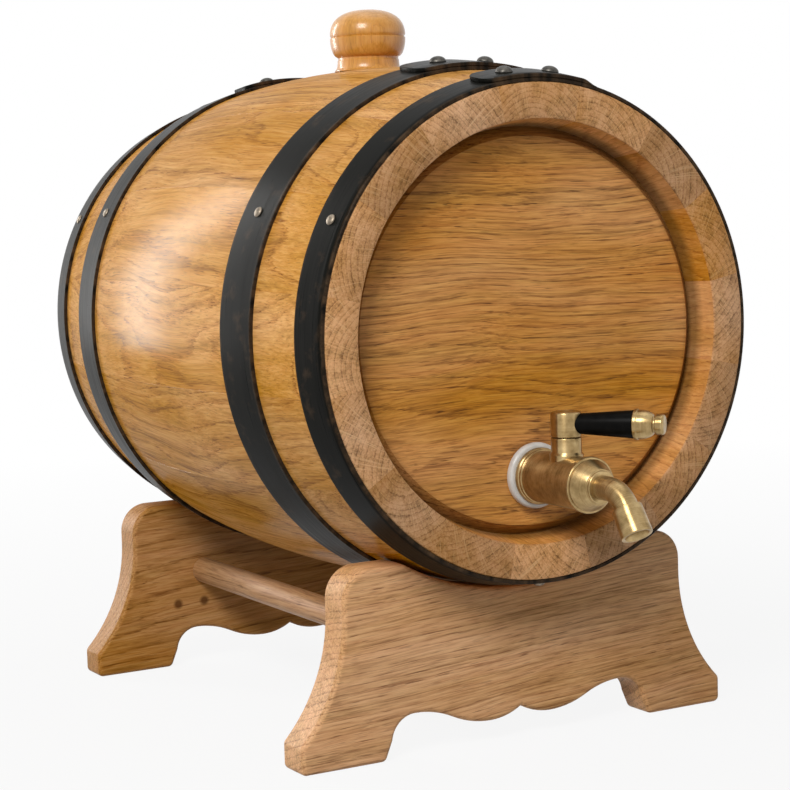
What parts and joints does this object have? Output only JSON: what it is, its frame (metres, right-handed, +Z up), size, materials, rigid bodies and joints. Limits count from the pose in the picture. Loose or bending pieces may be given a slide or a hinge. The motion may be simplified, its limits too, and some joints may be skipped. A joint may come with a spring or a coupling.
{
  "type": "oak barrel drink dispenser",
  "caption": "Small oak cask lying in a cradle stand, with black hoops, a turned bung on top and a brass lever tap in its front head for pouring drinks.",
  "frame": {"origin": "on the floor, under the middle of the whole object's box", "axes": "+X to the right as seen from the tap's end, +Y from the tap's end to the rear end, +Z up"},
  "size_m": [0.26, 0.3948, 0.3577],
  "materials": {
    "stave_oak": "satin varnish",
    "head_oak": "satin varnish",
    "dowel_oak": "bare",
    "hoop_steel": "satin black",
    "rivet_steel": "dark pewter",
    "nail_steel": "worn bright",
    "bung_oak": "satin varnish",
    "brass": "brushed",
    "washer_plastic": "translucent",
    "seal_rubber": "matte",
    "screw_steel": "plain",
    "grip_plastic": "gloss black",
    "stand_oak": "satin"
  },
  "bodies": {
    "stand": {"stand_front_board": "stand_oak", "stand_rear_board": "stand_oak", "stand_left_stretcher": "stand_oak", "stand_right_stretcher": "stand_oak"},
    "cask": {"bung_stave": "stave_oak", "stave_02": "stave_oak", "stave_03": "stave_oak", "stave_04": "stave_oak", "stave_05": "stave_oak", "stave_06": "stave_oak", "stave_07": "stave_oak", "stave_08": "stave_oak", "stave_09": "stave_oak", "stave_10": "stave_oak", "stave_11": "stave_oak", "stave_12": "stave_oak", "stave_13": "stave_oak", "stave_14": "stave_oak", "stave_15": "stave_oak", "stave_16": "stave_oak", "front_head_upper_board": "head_oak", "front_head_middle_board": "head_oak", "front_head_lower_board": "head_oak", "rear_head_upper_board": "head_oak", "rear_head_middle_board": "head_oak", "rear_head_lower_board": "head_oak", "front_head_dowels": "dowel_oak", "rear_head_dowels": "dowel_oak", "front_head_hoop": "hoop_steel", "front_quarter_hoop": "hoop_steel", "rear_quarter_hoop": "hoop_steel", "rear_head_hoop": "hoop_steel", "front_head_hoop_rivets": "rivet_steel", "front_quarter_hoop_rivets": "rivet_steel", "rear_quarter_hoop_rivets": "rivet_steel", "rear_head_hoop_rivets": "rivet_steel", "hoop_nails": "nail_steel", "tap_body": "brass", "tap_nose_cone": "brass", "tap_spout": "brass", "tap_nozzle": "brass", "tap_lock_nut": "brass", "tap_outer_washer": "washer_plastic", "tap_inner_washer": "seal_rubber", "valve_retaining_ring": "screw_steel"},
    "bung": {"bung": "bung_oak"},
    "lever": {"valve_plug": "brass", "valve_o_ring": "seal_rubber", "lever_hub": "brass", "hub_grub_screw": "screw_steel", "lever_stud": "screw_steel", "lever_grip": "grip_plastic", "lever_end_cap": "brass"}
  },
  "joints": [
    {"name": "cask_lift", "type": "slide", "parent": "stand", "child": "cask", "axis": [0, 0, 1], "range_m": [0, 0.15]},
    {"name": "bung_pull", "type": "slide", "parent": "cask", "child": "bung", "axis": [0, 0, 1], "range_m": [0, 0.06]},
    {"name": "tap_lever_turn", "type": "hinge", "parent": "cask", "child": "lever", "pos_m": [0, -0.13765, 0.12947], "axis": [0, 0, 1], "range_deg": [-40, 50]}
  ]
}
